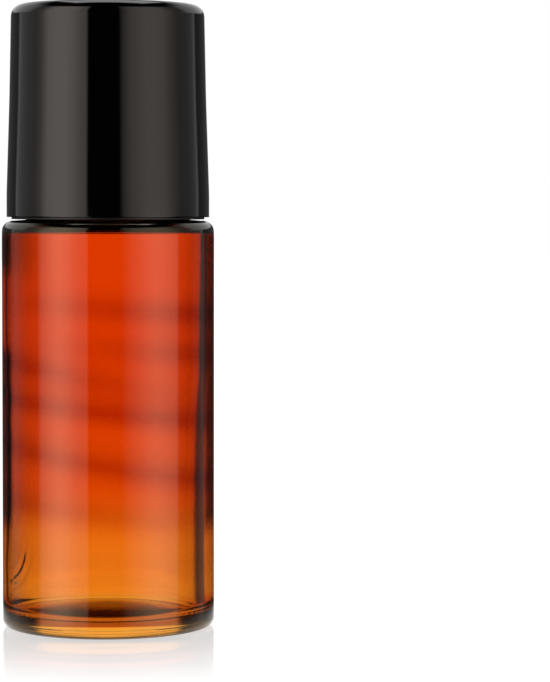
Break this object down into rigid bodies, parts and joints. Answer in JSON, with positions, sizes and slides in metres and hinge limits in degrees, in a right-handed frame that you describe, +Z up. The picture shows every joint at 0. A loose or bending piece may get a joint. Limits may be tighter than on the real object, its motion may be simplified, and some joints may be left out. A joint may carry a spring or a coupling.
{
  "type": "roll on bottle",
  "caption": "Straight round amber glass bottle with a roller ball held in a pressed-in housing and a glossy black screw cap, for rolling liquid onto skin.",
  "frame": {"origin": "middle of the flat ring that the bottle stands on", "axes": "+Z up along the bottle's axis, towards the cap; -Y towards the picture's viewer"},
  "size_m": [0.037, 0.037, 0.1085],
  "materials": {
    "amber_glass": "clear amber container glass, polished outside, slightly wavy inside",
    "housing_plastic": "natural polyethylene, satin",
    "ball_plastic": "white polypropylene, ground and polished",
    "seal_foam": "white closed-cell polyethylene foam",
    "sleeve_plastic": "black polypropylene, satin",
    "cap_black": "piano-black moulded plastic, high gloss"
  },
  "bodies": {
    "bottle": {"glass_bottle": "amber_glass", "ball_housing": "housing_plastic"},
    "ball": {"roller_ball": "ball_plastic"},
    "cap_seal": {"cap_seal": "seal_foam"},
    "cap": {"cap_sleeve": "sleeve_plastic", "cap_shell": "cap_black"}
  },
  "joints": [
    {"name": "ball_roll", "type": "hinge", "parent": "bottle", "child": "ball", "pos_m": [0, 0, 0.09175], "axis": [1, 0, 0], "continuous": true},
    {"name": "cap_lift", "type": "slide", "parent": "bottle", "child": "cap_seal", "axis": [0, 0, 1], "range_m": [0, 0.04]},
    {"name": "cap_turn", "type": "hinge", "parent": "cap_seal", "child": "cap", "pos_m": [0, 0, 0.07165], "axis": [0, 0, 1], "range_deg": [0, 360]}
  ]
}
